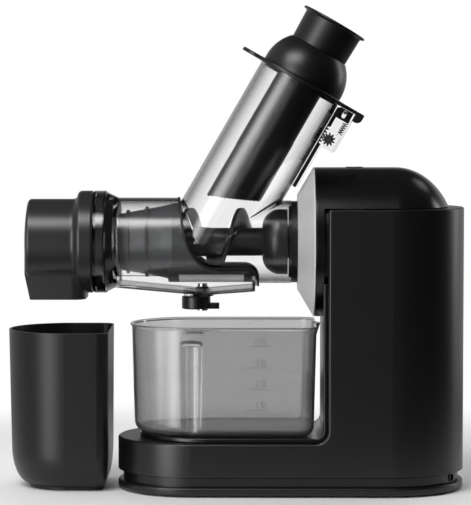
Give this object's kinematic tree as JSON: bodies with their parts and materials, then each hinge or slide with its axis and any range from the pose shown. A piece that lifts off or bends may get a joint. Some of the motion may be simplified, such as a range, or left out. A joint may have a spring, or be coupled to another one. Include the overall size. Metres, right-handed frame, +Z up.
{
  "type": "slow juicer",
  "caption": "Horizontal slow juicer: upright motor column, clear drum with an auger, slanted feed tube with lid and pusher, pulp spout, juice jug and pulp cup.",
  "frame": {"origin": "on the table, midway between the pulp cup's outer side and the back of the column, in the middle of its depth", "axes": "+X along the drive axis from the spout to the motor, +Z up, the user stands at -Y"},
  "size_m": [0.3978, 0.13, 0.4202],
  "materials": {
    "satin_black": "satin",
    "gloss_black": "gloss",
    "charcoal": "satin",
    "clear": "clear moulded plastic",
    "smoke": "smoky moulded plastic",
    "black_rubber": "matt",
    "brushed": "brushed",
    "bright_steel": "satin",
    "dark_steel": "bare",
    "grey_plastic": "satin",
    "gear_white": "nylon",
    "board_green": "lacquered",
    "alloy": "die cast"
  },
  "bodies": {
    "motor_unit": {"base_plate": "satin_black", "cord_gland": "black_rubber", "rubber_feet": "black_rubber", "base_screws": "bright_steel", "main_housing": "satin_black", "front_fascia": "gloss_black", "top_cover": "gloss_black", "power_switch": "grey_plastic", "front_bezel": "brushed", "bayonet_seat": "satin_black", "shaft_seal": "black_rubber", "lid_switch": "grey_plastic", "cluster_axle": "bright_steel", "motor_can": "dark_steel", "gearbox_front_plate": "alloy", "gearbox_rear_plate": "alloy", "gearbox_pillars": "bright_steel", "bearing_front": "bright_steel", "bearing_rear": "bright_steel", "control_board": "board_green"},
    "rotor": {"motor_rotor": "bright_steel", "motor_pinion": "bright_steel", "cooling_fan": "gear_white"},
    "cluster": {"cluster_gear": "bright_steel"},
    "drive": {"output_gear": "gear_white", "drive_shaft": "bright_steel", "auger": "charcoal"},
    "button": {"power_button": "charcoal"},
    "juice_chamber": {"juice_housing": "clear", "feed_housing": "clear", "chamber_seal": "black_rubber", "front_seal": "black_rubber", "bayonet_ring": "satin_black", "strainer_basket": "grey_plastic", "strainer_screen": "bright_steel", "auger_seal": "black_rubber", "drip_pivot": "bright_steel", "spout_seal": "black_rubber", "interlock_case": "clear", "slider_pin": "bright_steel", "slider_spring": "dark_steel"},
    "spout": {"pulp_spout": "charcoal"},
    "drip": {"drip_stop": "satin_black"},
    "lid": {"feed_lid": "satin_black"},
    "plunger": {"pusher": "satin_black"},
    "interlock": {"interlock_slider": "satin_black"},
    "damper": {"damper_pinion": "grey_plastic"},
    "jug": {"juice_jug": "smoke"},
    "cup": {"pulp_cup": "charcoal"}
  },
  "joints": [
    {"name": "rotor_spin", "type": "hinge", "parent": "motor_unit", "child": "rotor", "pos_m": [0.15135, 0, 0.1075], "axis": [1, 0, 0], "continuous": true},
    {"name": "cluster_spin", "type": "hinge", "parent": "motor_unit", "child": "cluster", "pos_m": [0.10135, 0, 0.155], "axis": [1, 0, 0], "continuous": true},
    {"name": "auger_spin", "type": "hinge", "parent": "motor_unit", "child": "drive", "pos_m": [0.00135, 0, 0.215], "axis": [1, 0, 0], "continuous": true},
    {"name": "power_press", "type": "slide", "parent": "motor_unit", "child": "button", "axis": [0, 0, -1], "range_m": [0, 0.002], "stiffness_N_per_m": 400},
    {"name": "chamber_twist", "type": "hinge", "parent": "motor_unit", "child": "juice_chamber", "pos_m": [0.00135, 0, 0.215], "axis": [1, 0, 0], "range_deg": [0, 30]},
    {"name": "spout_twist", "type": "hinge", "parent": "juice_chamber", "child": "spout", "pos_m": [-0.12865, 0, 0.215], "axis": [1, 0, 0], "range_deg": [0, 40]},
    {"name": "drip_swing", "type": "hinge", "parent": "juice_chamber", "child": "drip", "pos_m": [-0.02885, 0, 0.16], "axis": [0, 0, 1], "range_deg": [0, 90]},
    {"name": "lid_lift", "type": "slide", "parent": "juice_chamber", "child": "lid", "axis": [0.5, 0, 0.866], "range_m": [0, 0.15]},
    {"name": "pusher_slide", "type": "slide", "parent": "lid", "child": "plunger", "axis": [0.5, 0, 0.866], "range_m": [0, 0.16]},
    {"name": "interlock_slide", "type": "slide", "parent": "juice_chamber", "child": "interlock", "axis": [0.5, 0, 0.866], "range_m": [0, 0.003]},
    {"name": "damper_spin", "type": "hinge", "parent": "juice_chamber", "child": "damper", "pos_m": [0.08091, 0, 0.30405], "axis": [0, 1, 0], "range_deg": [0, 40]},
    {"name": "jug_slide", "type": "slide", "parent": "motor_unit", "child": "jug", "axis": [0, -1, 0], "range_m": [0, 0.2]},
    {"name": "cup_slide", "type": "slide", "parent": "motor_unit", "child": "cup", "axis": [0, -1, 0], "range_m": [0, 0.2]}
  ],
  "couplings": [
    {"joint": "cluster_spin", "follows": "rotor_spin", "ratio": -0.22581},
    {"joint": "auger_spin", "follows": "rotor_spin", "ratio": 0.056452},
    {"joint": "interlock_slide", "follows": "lid_lift", "ratio": 0.02},
    {"joint": "damper_spin", "follows": "lid_lift", "rad_per_m": 4.2105}
  ]
}
